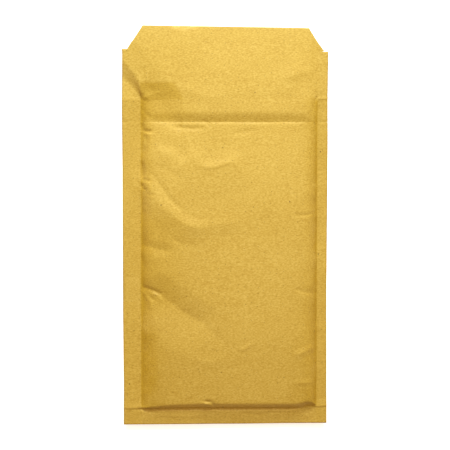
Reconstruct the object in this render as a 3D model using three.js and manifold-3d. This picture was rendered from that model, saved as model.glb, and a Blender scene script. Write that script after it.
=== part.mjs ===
// A padded mailing envelope: two sheets of kraft paper, each lined with bubble film, glued together along
// both sides and the bottom. It lies on its back with the flap open, empty, and the films hold it apart.
//
// Millimetres. +X runs across the width, +Y from the bottom seam to the flap, and +Z is up.
// The origin is under the middle of the whole envelope, flap included, on the surface that it lies on.

import * as THREE from "three";
import { mergeVertices } from "three/addons/utils/BufferGeometryUtils.js";
import Module from "manifold-3d";

const wasm = await Module();
wasm.setup();

// ---- Outline ------------------------------------------------------------------------------------------

const WIDTH = 140;
const BODY_HEIGHT = 225;
const FLAP_HEIGHT = 50;
const LEFT_SEAM = 11.6; // glued margins, which the pockets' film doesn't reach
const RIGHT_SEAM = 6.8;
const BOTTOM_SEAM = 11.6;
const LIP = 14.5; // bare paper between the films and the mouth
const NOTCH_HEIGHT = 16.2; // the flap's corners are cut off this far down from its tip
const NOTCH_RUN = 10.3; // sideways run of the slanting cut
const LEFT_NOTCH_STEP = 3.4; // the short level cut at the foot of the slanting one
const RIGHT_NOTCH_STEP = 2.4;

// ---- Thicknesses and heights --------------------------------------------------------------------------

const PAPER = 0.15;
const FILM = 3; // bubble film over its bubbles
const CLEARANCE = 0.3; // between layers that touch or are glued
const SEAM_BASE = 4; // underside of the glued margins, which stand off the surface below
const SLOPE_RUN = 5; // from a seam up to the shoulder of the pad
const CROWN_RUN = 30; // from a seam up to the level top of the pad
const SHOULDER_RISE = 3.8; // of the front sheet, from the seam to the shoulder
const CROWN_RISE = 6.9; // of the front sheet, from the seam to the level top
const FILM_INSET = 1.5; // from a seam to the film's edge
const FILM_EDGE = 0.85; // thickness of the film where its bubbles are crushed at that edge
const VALLEY_DIP = 1.3; // of the front sheet, where it is stuck down along the film's upper edge
const VALLEY_RUN = 2.2; // from the level top down into the valley
const LIP_RUN = 6.5; // from the valley back up to the lip
const FLAP_DROOP = 1.8; // of the flap's tip below the lip

// ---- Flap closure -------------------------------------------------------------------------------------

const GLUE_WIDTH = 16;
const RELEASE_WIDTH = 22;
const RELEASE_START = 9; // from the mouth to the near edge of the release strip
const STRIP = 0.15; // thickness of the glue band, and of the release strip

// ---- Stations -----------------------------------------------------------------------------------------

const left = -WIDTH / 2;
const right = WIDTH / 2;
const bottom = -(BODY_HEIGHT + FLAP_HEIGHT) / 2;
const mouth = bottom + BODY_HEIGHT;
const tip = mouth + FLAP_HEIGHT;
const notchFoot = tip - NOTCH_HEIGHT;
const leftSeam = left + LEFT_SEAM;
const rightSeam = right - RIGHT_SEAM;
const bottomSeam = bottom + BOTTOM_SEAM;
const valley = mouth - LIP;
const filmTop = valley - VALLEY_RUN - CLEARANCE;
const releaseFoot = mouth + RELEASE_START;
const releaseTop = releaseFoot + RELEASE_WIDTH;
const glueFoot = releaseFoot + (RELEASE_WIDTH - GLUE_WIDTH) / 2;
const glueTop = glueFoot + GLUE_WIDTH;

const acrossFrom = (inset) => [leftSeam + inset, rightSeam - inset];
const [crownLeft, crownRight] = acrossFrom(CROWN_RUN);
const [shoulderLeft, shoulderRight] = acrossFrom(SLOPE_RUN);
const [filmLeft, filmRight] = acrossFrom(FILM_INSET);

const padColumns = [shoulderLeft, crownLeft, crownRight, shoulderRight];
const sheetColumns = [left, leftSeam, ...padColumns, rightSeam, right];
const filmColumns = [filmLeft, ...padColumns, filmRight];
const bodyRows = [bottomSeam + SLOPE_RUN, bottomSeam + CROWN_RUN];
const glueRows = [glueFoot, glueTop];
const releaseRows = [releaseFoot, ...glueRows, releaseTop];

// ---- Surfaces -----------------------------------------------------------------------------------------

// Height along a broken line through [position, height] pairs, level beyond both ends.
function brokenLine(points, position) {
  if (position <= points[0][0]) return points[0][1];
  for (let i = 1; i < points.length; i++) {
    const [start, low] = points[i - 1];
    const [end, high] = points[i];
    if (position < end) return THREE.MathUtils.mapLinear(position, start, end, low, high);
  }
  return points.at(-1)[1];
}

const sideInset = (x) => Math.min(x - leftSeam, rightSeam - x);
const seamInset = (x, y) => Math.min(sideInset(x), y - bottomSeam);

const frontRise = (inset) =>
  brokenLine([[0, 0], [SLOPE_RUN, SHOULDER_RISE], [CROWN_RUN, CROWN_RISE]], inset);

const mouthDip = (y) =>
  brokenLine([[valley - VALLEY_RUN, 0], [valley, VALLEY_DIP], [valley + LIP_RUN, 0]], y);

const seamFront = SEAM_BASE + PAPER + CLEARANCE; // underside of the front sheet in the seams
const lipHeight = seamFront + CROWN_RISE;

// Underside of the front sheet and its flap. Over the pad it rises from the seams; past the mouth the
// low margins come up to the level of the flap by the foot of its cut corners.
function frontUnderside(x, y) {
  const crown = frontRise(seamInset(x, y));
  if (y <= mouth) return seamFront + crown - mouthDip(y) * (crown / CROWN_RISE);
  const flap = THREE.MathUtils.mapLinear(y, mouth, tip, lipHeight, lipHeight - FLAP_DROOP);
  const levelled = brokenLine([[mouth, 0], [notchFoot, 1]], y);
  return THREE.MathUtils.lerp(seamFront + crown, flap, levelled);
}

// Underside of the back sheet: flat on the surface below, and up to the seams round its edges.
const backUnderside = (x, y) => brokenLine([[0, SEAM_BASE], [SLOPE_RUN, 0]], seamInset(x, y));

const filmThickness = (x, y) =>
  brokenLine([[FILM_INSET, FILM_EDGE], [SLOPE_RUN, FILM]], seamInset(x, y));

const frontFilmTop = (x, y) => frontUnderside(x, y) - CLEARANCE;
const backFilmBase = (x, y) => backUnderside(x, y) + PAPER + CLEARANCE;
const below = (surface, drop) => (x, y) => surface(x, y) - drop;
const above = (surface, rise) => (x, y) => surface(x, y) + rise;

// ---- Layers -------------------------------------------------------------------------------------------

// Each cell of a bent grid folds along its steeper diagonal, so that hips and hollows run into corners.
function foldCells(index, heights) {
  const folded = [];
  for (let i = 0; i < index.count; i += 6) {
    const [a, b, d] = [index.getX(i), index.getX(i + 1), index.getX(i + 2)];
    const c = index.getX(i + 4);
    const steeperAC = Math.abs(heights[a] - heights[c]) > Math.abs(heights[b] - heights[d]);
    folded.push(...(steeperAC ? [a, b, c, a, c, d] : [a, b, d, b, c, d]));
  }
  return folded;
}

// A sheet or pad on a grid of stations: a plane laid on its upper surface, a copy of it turned over on the
// lower one, and walls between them round the rim.
function layer(columns, rows, lower, upper) {
  const across = columns.length - 1;
  const along = rows.length - 1;
  const plane = new THREE.PlaneGeometry(across, along, across, along);
  const grid = plane.getAttribute("position");
  const top = [];
  const base = [];
  for (let i = 0; i < grid.count; i++) {
    const x = columns[Math.round(grid.getX(i) + across / 2)];
    const y = rows[Math.round(grid.getY(i) + along / 2)];
    top.push(x, y, upper(x, y));
    base.push(x, y, lower(x, y));
  }
  const heights = top.filter((_, i) => i % 3 === 2);
  const faces = foldCells(plane.index, heights);
  const turned = [];
  const edges = new Set();
  for (let i = 0; i < faces.length; i += 3) {
    const [a, b, c] = faces.slice(i, i + 3);
    turned.push(c + grid.count, b + grid.count, a + grid.count);
    for (const [from, to] of [[a, b], [b, c], [c, a]]) edges.add(`${from},${to}`);
  }
  const walls = [];
  for (const edge of edges) {
    const [from, to] = edge.split(",").map(Number);
    if (edges.has(`${to},${from}`)) continue;
    walls.push(to, from, from + grid.count, to, from + grid.count, to + grid.count);
  }
  const geometry = new THREE.BufferGeometry();
  geometry.setAttribute("position", new THREE.Float32BufferAttribute([...top, ...base], 3));
  geometry.setIndex([...faces, ...turned, ...walls]);
  return geometry;
}

// ---- Cutting ------------------------------------------------------------------------------------------

function toManifold(geometry) {
  const bare = geometry.clone();
  bare.deleteAttribute("normal");
  bare.deleteAttribute("uv");
  const merged = mergeVertices(bare);
  return new wasm.Manifold(
    new wasm.Mesh({
      numProp: 3,
      vertProperties: merged.getAttribute("position").array,
      triVerts: new Uint32Array(merged.index.array),
    }),
  );
}

function toGeometry(manifold) {
  const mesh = manifold.getMesh();
  const geometry = new THREE.BufferGeometry();
  geometry.setAttribute("position", new THREE.BufferAttribute(mesh.vertProperties, 3));
  geometry.setIndex(new THREE.BufferAttribute(mesh.triVerts, 1));
  return geometry;
}

// The scrap that the knife takes off one corner of the flap. `side` is -1 on the left and 1 on the right.
function cornerScrap(side, step) {
  const margin = 5; // past the sheet's edges
  const edge = side * (WIDTH / 2);
  const outline = new THREE.Shape()
    .moveTo(edge + side * margin, notchFoot)
    .lineTo(edge - side * step, notchFoot)
    .lineTo(edge - side * (step + NOTCH_RUN), tip)
    .lineTo(edge - side * (step + NOTCH_RUN), tip + margin)
    .lineTo(edge + side * margin, tip + margin);
  const depth = 2 * lipHeight;
  return toManifold(new THREE.ExtrudeGeometry(outline, { depth, bevelEnabled: false }));
}

// ---- Pieces -------------------------------------------------------------------------------------------

function frontSheet() {
  const lipRows = [valley - VALLEY_RUN, valley, valley + LIP_RUN, mouth];
  const rows = [bottom, bottomSeam, ...bodyRows, ...lipRows, ...releaseRows, notchFoot, tip];
  const blank = layer(sheetColumns, rows, frontUnderside, above(frontUnderside, PAPER));
  const cut = toManifold(blank)
    .subtract(cornerScrap(-1, LEFT_NOTCH_STEP))
    .subtract(cornerScrap(1, RIGHT_NOTCH_STEP));
  return toGeometry(cut);
}

function backSheet() {
  const rows = [bottom, bottomSeam, bottomSeam + SLOPE_RUN, mouth];
  const columns = [left, leftSeam, shoulderLeft, shoulderRight, rightSeam, right];
  return layer(columns, rows, backUnderside, above(backUnderside, PAPER));
}

const filmRows = [bottomSeam + FILM_INSET, ...bodyRows, filmTop];

function frontFilm() {
  const base = (x, y) => frontFilmTop(x, y) - filmThickness(x, y);
  return layer(filmColumns, filmRows, base, frontFilmTop);
}

function backFilm() {
  const top = (x, y) => backFilmBase(x, y) + filmThickness(x, y);
  const columns = [filmLeft, shoulderLeft, shoulderRight, filmRight];
  const rows = [bottomSeam + FILM_INSET, bottomSeam + SLOPE_RUN, filmTop];
  return layer(columns, rows, backFilmBase, top);
}

// A band across the flap's underside, `drop` below it. It bends along the same rows as the flap.
function flapBand(rows, drop) {
  const top = below(frontUnderside, drop);
  return layer(sheetColumns, rows, below(top, STRIP), top);
}

// ---- Scene --------------------------------------------------------------------------------------------

const kraft = { color: 0xdcb14b, roughness: 0.85, metalness: 0 };
const film = { color: 0xe9eef0, roughness: 0.25, metalness: 0, transparent: true, opacity: 0.55 };
const hotMelt = { color: 0xe8dcae, roughness: 0.3, metalness: 0 };
const siliconePaper = { color: 0xf2f0e8, roughness: 0.4, metalness: 0 };

const pieces = [
  ["front_sheet", frontSheet(), kraft],
  ["back_sheet", backSheet(), kraft],
  ["front_bubble_film", frontFilm(), film],
  ["back_bubble_film", backFilm(), film],
  ["flap_glue", flapBand(glueRows, CLEARANCE), hotMelt],
  ["release_strip", flapBand(releaseRows, 2 * CLEARANCE + STRIP), siliconePaper],
];

const envelope = new THREE.Group();
for (const [name, geometry, finish] of pieces) {
  const mesh = new THREE.Mesh(geometry, new THREE.MeshStandardMaterial(finish));
  mesh.name = name;
  envelope.add(mesh);
}

export default envelope;
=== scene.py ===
"""A padded mailing envelope of golden kraft paper, lying on its back with its flap open.

Two paper sheets are glued together along both sides and the bottom. Each is lined with bubble film, and
the front sheet runs on past the mouth as the flap, whose underside carries a glue band and its release
strip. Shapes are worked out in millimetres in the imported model's frame (+X across, +Y towards the flap,
+Z up) and turned to metres as each mesh is finished. Names call +Y north and -X west.
"""

import logging
import math
from abc import ABC, abstractmethod
from dataclasses import dataclass
from enum import Enum
from typing import Any, Protocol

import bmesh
import bpy
import numpy as np
from mathutils import Matrix, Vector


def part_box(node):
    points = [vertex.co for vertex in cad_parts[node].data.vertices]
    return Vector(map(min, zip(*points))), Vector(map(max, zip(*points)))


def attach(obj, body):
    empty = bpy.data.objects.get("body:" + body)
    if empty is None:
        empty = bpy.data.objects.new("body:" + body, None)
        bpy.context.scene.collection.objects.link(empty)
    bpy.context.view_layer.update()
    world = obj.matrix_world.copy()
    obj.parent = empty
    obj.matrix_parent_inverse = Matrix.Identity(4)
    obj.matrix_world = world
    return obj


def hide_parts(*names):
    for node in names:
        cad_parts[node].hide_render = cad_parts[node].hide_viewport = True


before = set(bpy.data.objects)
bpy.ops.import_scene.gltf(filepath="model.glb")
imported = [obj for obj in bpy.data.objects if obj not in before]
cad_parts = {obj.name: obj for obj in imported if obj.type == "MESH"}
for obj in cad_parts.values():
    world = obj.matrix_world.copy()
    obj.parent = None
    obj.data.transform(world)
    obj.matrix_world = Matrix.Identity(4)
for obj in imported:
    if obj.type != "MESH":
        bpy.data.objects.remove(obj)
log = logging.getLogger("envelope")

MM = 0.001
BODY = "root"
PAPER = 0.15  # thickness of the kraft sheets
GLUE_LINE = 0.05  # thickness of the glue between them in the margins
FILM_INSET = 1.5  # from a seam to the film's edge
VALLEY_RUN = 2.5  # from the film's upper edge to the valley where it is stuck down
SEAM_LOFT = 4.0  # of the glued margins over the surface below

Profile = tuple[tuple[float, float], ...]


# ---- Curves and waves -----------------------------------------------------------------------------------


def clamp01(value: np.ndarray) -> np.ndarray:
    """The values held between 0 and 1."""
    return np.clip(value, 0.0, 1.0)


def smooth_step(value: np.ndarray | float, low: np.ndarray | float, high: np.ndarray | float) -> np.ndarray:
    """A ramp with soft ends.

    Args:
        value: Where to read it.
        low: Where it leaves 0.
        high: Where it reaches 1.

    Returns:
        Values from 0 to 1.
    """
    t = clamp01((value - low) / (high - low))
    return t * t * (3 - 2 * t)


def stretch(value: np.ndarray, start: tuple[float, float], end: tuple[float, float]) -> np.ndarray:
    """A stretch that is 1 between a soft start and a soft end, and 0 beyond them.

    Args:
        value: Where to read it.
        start: Where it leaves 0, and where it reaches 1.
        end: Where it leaves 1, and where it reaches 0.

    Returns:
        Values from 0 to 1.
    """
    return smooth_step(value, *start) * (1 - smooth_step(value, *end))


def profile(place: np.ndarray, corners: Profile) -> np.ndarray:
    """Values read off a broken line.

    Args:
        place: Where to read it.
        corners: The line's corners, each a place and the value there.

    Returns:
        One value for each place.
    """
    places, values = zip(*corners)
    return np.interp(place, places, values)


def soft_min(values: list[np.ndarray], softness: float) -> np.ndarray:
    """The least of several heights, rounded where two of them meet.

    Args:
        values: The heights, as arrays of one shape.
        softness: How far round a meeting line the rounding reaches, in the heights' unit.

    Returns:
        One array of heights.
    """
    least = np.minimum.reduce(values)
    return least - softness * np.log(sum(np.exp((least - v) / softness) for v in values))


def flank(inset: np.ndarray, share: np.ndarray | float, run: np.ndarray, far: float) -> np.ndarray:
    """Share of the pad's full height at a distance inside one seam.

    Args:
        inset: Distance from the seam, less than 0 in the margin.
        share: How much of the height the steep part next to the seam takes.
        run: Length of the steep part.
        far: Length of the gentle part, from the seam on.

    Returns:
        Shares from 0 to 1.
    """
    steep = 1 - (1 - clamp01(inset / run)) ** 1.8
    gentle = 1 - (1 - clamp01(inset / far)) ** 2
    return share * steep + (1 - share) * gentle


@dataclass(frozen=True)
class Ripple:
    """Smooth random waves in the paper, drawn on a square lattice, in millimetres."""

    height: float
    spacing: float
    seed: int

    def lift(self, x: np.ndarray, y: np.ndarray) -> np.ndarray:
        """Height that the waves add.

        Args:
            x: Places across.
            y: Places along.

        Returns:
            The added heights, up or down.
        """
        size = 128
        lattice = np.random.default_rng(self.seed).uniform(-1, 1, (size, size))
        u, v = x / self.spacing + size / 2, y / self.spacing + size / 2
        i, j = np.floor(u).astype(int), np.floor(v).astype(int)
        s, t = smooth_step(u - i, 0, 1), smooth_step(v - j, 0, 1)
        near = lattice[i % size, j % size] * (1 - s) + lattice[(i + 1) % size, j % size] * s
        far = lattice[i % size, (j + 1) % size] * (1 - s) + lattice[(i + 1) % size, (j + 1) % size] * s
        return self.height * (near * (1 - t) + far * t)


# ---- Layout ---------------------------------------------------------------------------------------------


class Sheet(Enum):
    """Which of the two kraft sheets a finish dresses, or a bubble film lines."""

    FRONT = "front"
    BACK = "back"


@dataclass(frozen=True)
class Layout:
    """The lines that sheets and films share, in millimetres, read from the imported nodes."""

    left: float
    right: float
    bottom: float
    tip: float
    mouth: float
    left_seam: float
    right_seam: float
    bottom_seam: float
    valley: float
    top: float

    @classmethod
    def from_frame(cls) -> "Layout":
        """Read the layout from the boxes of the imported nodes.

        Returns:
            The layout.
        """
        front, back, film = (
            [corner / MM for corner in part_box(node)]
            for node in ("front_sheet", "back_sheet", "front_bubble_film")
        )
        return cls(
            left=front[0].x,
            right=front[1].x,
            bottom=front[0].y,
            tip=front[1].y,
            mouth=back[1].y,
            left_seam=film[0].x - FILM_INSET,
            right_seam=film[1].x + FILM_INSET,
            bottom_seam=film[0].y - FILM_INSET,
            valley=film[1].y + VALLEY_RUN,
            top=front[1].z,
        )


class Surface(Protocol):
    """Anything that a flat mesh can be laid on."""

    def height(self, x: np.ndarray, y: np.ndarray) -> np.ndarray:
        """Height over the floor at each place."""


@dataclass(frozen=True)
class Fold:
    """A crease or dent pressed along a line in the paper, in millimetres.

    The left and right flanks are those of someone who walks along the path.
    """

    path: tuple[tuple[float, float], ...]
    rise: float  # of the crest, or less than 0 for a groove
    left: float  # how far the left flank reaches
    right: float
    taper: float = 6.0  # length over which each end dies away
    bend: float = 1.6  # 1 for flat flanks, more for flanks that are steepest at the crest

    def lift(self, x: np.ndarray, y: np.ndarray) -> np.ndarray:
        """Height that the fold adds.

        Args:
            x: Places across.
            y: Places along.

        Returns:
            The added heights.
        """
        nearest = np.full(x.shape, np.inf)
        side = np.zeros(x.shape)
        along = np.zeros(x.shape)
        start = 0.0
        for (x0, y0), (x1, y1) in zip(self.path, self.path[1:]):
            dx, dy = x1 - x0, y1 - y0
            length = math.hypot(dx, dy)
            t = clamp01(((x - x0) * dx + (y - y0) * dy) / length**2)
            off_x, off_y = x - x0 - t * dx, y - y0 - t * dy
            distance = np.hypot(off_x, off_y)
            closer = distance < nearest
            nearest = np.where(closer, distance, nearest)
            side = np.where(closer, dx * off_y - dy * off_x, side)
            along = np.where(closer, start + t * length, along)
            start += length
        reach = np.where(side > 0, self.left, self.right)
        slope = clamp01(1 - nearest / reach) ** self.bend
        from_end = np.minimum(along, start - along)
        return self.rise * slope * smooth_step(from_end, -0.3 * self.taper, self.taper)


# ---- The front sheet's relief ---------------------------------------------------------------------------

# down the pad's two sides, and across its foot: length of the steep part, and its share of the height
LEFT_RUN: Profile = ((-115, 15), (-85, 14), (-60, 10.5), (-30, 9), (30, 8.5), (60, 8), (85, 7.5))
RIGHT_RUN: Profile = ((-110, 10), (-60, 9.5), (0, 9), (50, 9.5), (85, 10))
FOOT_RUN: Profile = ((-60, 0.9), (-52, 1.6), (-38, 3.2), (-20, 3.9))
FOOT_SHARE: Profile = ((-60, 0.25), (-50, 0.37), (-38, 0.48), (-20, 0.505))
# how far the pad's foot strays from the bottom seam
FOOT_LIFT: Profile = (
    (-62, 0.4), (-58, -0.2), (-54, -0.5), (-50.5, -0.4), (-20, 0.0), (20, -0.3),
    (49, -0.5), (53, 0.2), (56.5, 1.3), (61, 1.2), (64, 0.8),
)
# slope of the bottom margin
MARGIN_FALL: Profile = ((-60, 0.02), (-30, 0.04), (0, 0.1), (40, 0.12), (58, 0.08), (66, 0.04))
# depth of the dent in the left of the lip, across it and as a share along it
DENT_ACROSS: Profile = ((-62, 1.4), (-50, 1.05), (-40, 0.6), (-33.5, 0.3), (-30.5, 0.0))
DENT_START: Profile = ((52, 0), (80, 1))
DENT_ALONG: Profile = (*DENT_START, (90, 1), (99.5, 0))
# the flap: share of the tip's droop, and how far each side rolls down
FLAP_DROOP: Profile = ((-70, -0.3), (-45, 0.3), (-15, 1.0), (45, 1.0), (70, 0.5))
FLAP_ROLL: Profile = ((-71, 1.8), (-60, 0.6), (-45, 0.0), (46, 0.0), (58, 1.4), (64, 3.1), (71, 3.7))
# where the sheet starts to leave the glued body for the flap, and where it has left it: on the left the
# step between them is a steep facet that narrows towards the mouth's corner
RELEASE_START: Profile = (
    (-70.5, 104), (-66.3, 100), (-62.3, 95.3), (-60.3, 92.5), (-59, 90.5), (-57.6, 88.2), (-54, 86),
    (-30, 88), (50, 88), (57, 84), (60, 83), (63.5, 82), (70.5, 80),
)
RELEASE_END: Profile = (
    (-70.5, 115), (-66.3, 110.3), (-62.3, 105), (-60.3, 100), (-59, 95), (-57.6, 91.5), (-54, 92),
    (-30, 96), (50, 96), (57, 94), (60, 94), (63.5, 94), (70.5, 96),
)
# painted shade beside the film's edges down the left side, and how far inwards it reaches on each side
LEFT_SHADE: Profile = ((-85, 0.95), (-50, 0.68))
LEFT_REACH: Profile = ((-118, 13), (-80, 12), (-68, 5), (-50, 3.5), (30, 3.5), (60, 5.5))
RIGHT_REACH: Profile = ((-110, 10), (-60, 7), (-20, 4), (40, 4.5))
# how much wider than its drawing the blank is cut, and how far its two ends are shifted along Y
WIDE_LEFT: Profile = ((-137, 0.55), (-110, 0.35), (-60, 0.8), (40, 0.85), (75, 1.2), (120, 0.9))
WIDE_RIGHT: Profile = ((-137, 0.7), (-110, 0.5), (-40, 0.3), (10, 0.7), (60, 0.8), (90, 0.5), (120, 0.9))
TIP_SHIFT: Profile = ((-60, 0.25), (0, -0.2), (60, -0.9))
FOOT_SHIFT: Profile = ((-60, 0.35), (10, 0.05), (60, 0.15))

# unevenness of the pad's edges, the valley and the edge of the pleats' painted shade
LEFT_WOBBLE = Ripple(0.35, 9, 5)
RIGHT_WOBBLE = Ripple(0.25, 8, 6)
VALLEY_WOBBLE = Ripple(0.15, 14, 8)
PLEAT_SHADE_WOBBLE = Ripple(0.8, 10, 33)
# waves and crumples of the sheet, and clouds in its painted shade
MARGIN_WAVES = (Ripple(0.35, 30, 21), Ripple(0.12, 9, 22))
LOOSE_WAVES = (Ripple(0.12, 26, 1), Ripple(0.05, 11, 2))
CRUMPLE = Ripple(0.02, 4.5, 3)
SEAM_CRUMPLE = Ripple(0.07, 3.1, 4)
SHADE_CLOUDS = (Ripple(0.25, 7, 31), Ripple(0.25, 2.6, 32))

PAD_FOLDS = (
    # below the valley
    Fold(((-37, 69.5), (-30, 68), (-22, 67.6), (-14, 68)), -0.5, 3, 3, 6),
    Fold(((-47, 72), (-40, 67), (-33, 63), (-27, 62)), 0.35, 6, 9, 8, 1.3),
    Fold(((-15.4, 73.4), (-14.0, 72.4), (-12, 70.3), (-10, 68.6)), -0.7, 1.3, 1.0, 1),
    Fold(((4, 63.5), (12, 65.5), (22, 66)), -0.3, 3, 4, 5),
    Fold(((-48, 57), (-38, 55.2), (-33, 53), (-29, 49), (-26, 44)), -0.36, 8, 5, 8, 1.2),
    Fold(((-26.5, 54), (-23, 50.2), (-19.5, 45), (-15.5, 41.3), (-9, 40.8), (-2, 42.6), (5, 45), (12, 48.2)),
         0.9, 10, 22, 9, 1.1),
    Fold(((-18, 42.6), (-14, 40.9), (-9, 40.8), (-2, 42.6), (4, 44.6)), 0.25, 4, 1.6, 4, 1.0),
    Fold(((-50, 43), (-38, 38), (-29, 31)), -0.3, 6, 6, 8),
    # the lumpy left flank of the pad
    Fold(((-57.6, 71), (-56.6, 67), (-54.5, 65.6), (-50, 65.6)), -1.2, 2.0, 2.0, 2),
    Fold(((-56.8, 64), (-54.5, 60), (-55.2, 54), (-57, 48)), -1.0, 3.0, 1.8, 4),
    Fold(((-57.6, 45), (-57.2, 39), (-57, 32.5)), -1.5, 1.8, 1.6, 3),
    Fold(((-57.3, 33), (-54.5, 32), (-51, 31.6)), -0.9, 1.5, 1.4, 2),
    Fold(((-58, 29.6), (-56.4, 26.6), (-54, 25)), -1.3, 1.5, 2.0, 1.5),
    Fold(((-57, 24.5), (-53, 22.5), (-48, 21.5)), -0.4, 2, 2, 3),
    Fold(((-57, 17), (-53, 13.5)), -0.4, 2, 2, 3),
    # the long diagonal ridge
    Fold(((-57.5, 41), (-55.6, 34.5), (-53.2, 28), (-50.2, 22.4), (-47, 18), (-43.4, 13.8), (-36.6, 8.4),
          (-30.5, 3.7), (-25.8, 0.8), (-19, -0.8), (-11, -0.8)), 1.12, 6.6, 12, 14, 1.0),
    Fold(((-51.5, 37.5), (-44.7, 27.8), (-38, 18.3), (-31.2, 11.6)), -0.4, 4, 1.2, 5),
    # wrinkles across the left half
    Fold(((-60, -10.8), (-53, -13.6), (-46, -15.2), (-36, -17)), -0.75, 6, 6, 6, 1.2),
    Fold(((-35, -8), (-30.5, -12), (-30, -16)), -0.35, 2.5, 2.5, 3),
    # the deep diagonal fold from the left seam
    Fold(((-61, -41.0), (-55, -42.4), (-50, -44.0), (-46, -45.6), (-41, -49.8), (-36, -52.6), (-31, -57.2),
          (-24, -61.6), (-16, -66), (-8, -72)), -1.9, 14, 26, 18, 1.25),
    Fold(((-62, -40.9), (-55, -42.0), (-50, -43.7), (-44, -46.6)), -0.75, 1.8, 1.3, 2, 1.1),
    Fold(((-59, -43.0), (-55, -46.8), (-51.8, -51.2), (-50.5, -57.6)), 0.75, 1.6, 2.2, 3, 1.2),
    Fold(((-55, -46.0), (-51.4, -49.4), (-48.8, -50.8)), -0.6, 1.3, 1.3, 1.5, 1.2),
    Fold(((-52, -45.4), (-47.4, -46.8), (-43.5, -51.6)), 0.45, 1.5, 1.8, 2, 1.2),
    Fold(((-50.3, -52), (-49.6, -62), (-50, -70)), 0.35, 1.8, 1.8, 5),
    Fold(((-47.2, -54), (-46.8, -62), (-47.2, -69)), -0.3, 1.5, 1.5, 4),
    Fold(((-53.8, -70), (-53.6, -76), (-54.4, -83)), 0.6, 1.5, 1.8, 3),
    Fold(((-51.5, -76), (-51.6, -84), (-52, -91)), -0.5, 1.5, 1.5, 3),
    Fold(((-16, -70), (-8, -74), (-3, -82)), -0.35, 7, 7, 6),
    Fold(((-24, -92), (-10, -93), (2, -90)), 0.3, 8, 8, 8),
    Fold(((-30, 3), (-10, 1), (12, 4)), 0.45, 12, 9, 10, 1.3),
    # small creases at the right seam
    Fold(((48, 8), (55, 7.8), (62, 9.5)), -0.4, 2.2, 1.8, 4),
    Fold(((43, 22.2), (48, 22.8)), -0.25, 1.2, 1.2, 2),
    Fold(((47, -43), (55, -45.2), (62, -46.6)), -0.35, 3.5, 2.6, 4),
    Fold(((47, -89), (54, -86.6), (61.5, -82.6)), 0.5, 3.4, 4, 4, 1.2),
    Fold(((9, -85), (13, -84.6), (19.5, -79.5)), 0.4, 2.5, 2, 4),
    Fold(((48, -108.5), (61, -108)), 0.35, 3, 3, 4),
    # the pinch in the bottom slope
    Fold(((-17, -121.8), (-12.5, -122.8), (-8.5, -126)), 0.8, 1.1, 1.3, 1.5, 1.2),
    Fold(((-15, -120.6), (-10.5, -121.2), (-7, -124.6)), -1.0, 1.3, 1.0, 1.5, 1.2),
    # the folded lower right corner
    Fold(((49, -126.6), (54, -124.8), (61, -124.2)), 0.9, 0.9, 3.0, 2, 1.1),
    Fold(((54, -131), (57.5, -129.2), (62.5, -128.2)), -0.9, 1.6, 1.6, 1.5, 1.2),
    Fold(((-62, -124.6), (-54, -125)), 0.4, 0.8, 2.0, 2),
)

MARGIN_FOLDS = (
    # the deep fold runs out through the left margin
    Fold(((-72, -40.4), (-66, -41.8), (-60, -43.2)), -0.7, 9, 12, 3, 1.2),
    # the crease along the bottom seam, at both ends
    Fold(((-72, -126.0), (-57, -126.0)), 0.4, 6, 0.9, 1, 1.2),
    Fold(((62, -125.6), (72, -125.4)), 0.4, 6, 0.9, 1, 1.2),
    Fold(((-60, -126.4), (-53, -128.6), (-47, -129.4)), -0.5, 2.0, 0.9, 1.5, 1.2),
    # creases from the ends of the valley and of the mouth
    Fold(((-71, 72.2), (-59, 72.6)), -0.1, 1.0, 1.4, 2),
    Fold(((63, 72.6), (71, 72.4)), -0.2, 1.0, 1.4, 2),
    Fold(((-71, 87.8), (-59, 88.0)), 0.28, 1.0, 7, 2, 1.0),
    Fold(((62, 88.4), (71, 88.6)), 0.25, 1.2, 1.5, 2),
    # the bottom corners
    Fold(((61.8, -126), (61.8, -134)), -0.4, 1.2, 1.2, 1.5),
    Fold(((-58.6, -126.6), (-57.4, -131), (-56.6, -136)), 0.45, 1.2, 1.2, 1.5),
    # the rim where the two sheets part under the bottom slope, and the waves beyond it
    Fold(((-57, -128.3), (-20, -128.2), (10, -128.4), (54, -128.3)), 0.6, 1.4, 8, 4, 1.0),
    Fold(((10, -129), (22, -131.4), (32, -129.6), (48, -129.4)), -0.25, 1.4, 1.4, 3),
    Fold(((-48, -130.5), (-30, -131.8), (-12, -130.6)), 0.2, 2.5, 2.5, 6),
)

FLAP_FOLDS = (
    # the left end of the lip, a bulge on the flap's right, and the right end of the lip
    Fold(((-57.4, 81.5), (-54.5, 77.6), (-51, 74.4)), -0.5, 1.8, 1.8, 1.5, 1.2),
    Fold(((36, 101), (48, 104.4), (62, 109)), 0.5, 12, 6, 10),
    Fold(((58, 77), (60.2, 81), (61.2, 86), (63.4, 90)), -0.5, 1.6, 1.6, 2),
    # a nick at the tip, and soft waves above the dent
    Fold(((-38, 138.2), (-28, 136.6), (-19, 138.2)), -0.6, 2.5, 2.5, 4),
    Fold(((-33, 97), (-22, 92.5), (-12, 89), (2, 90)), 0.35, 7, 9, 8),
    Fold(((-57, 110), (-57, 104)), -0.3, 2, 2, 3),
)


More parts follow.
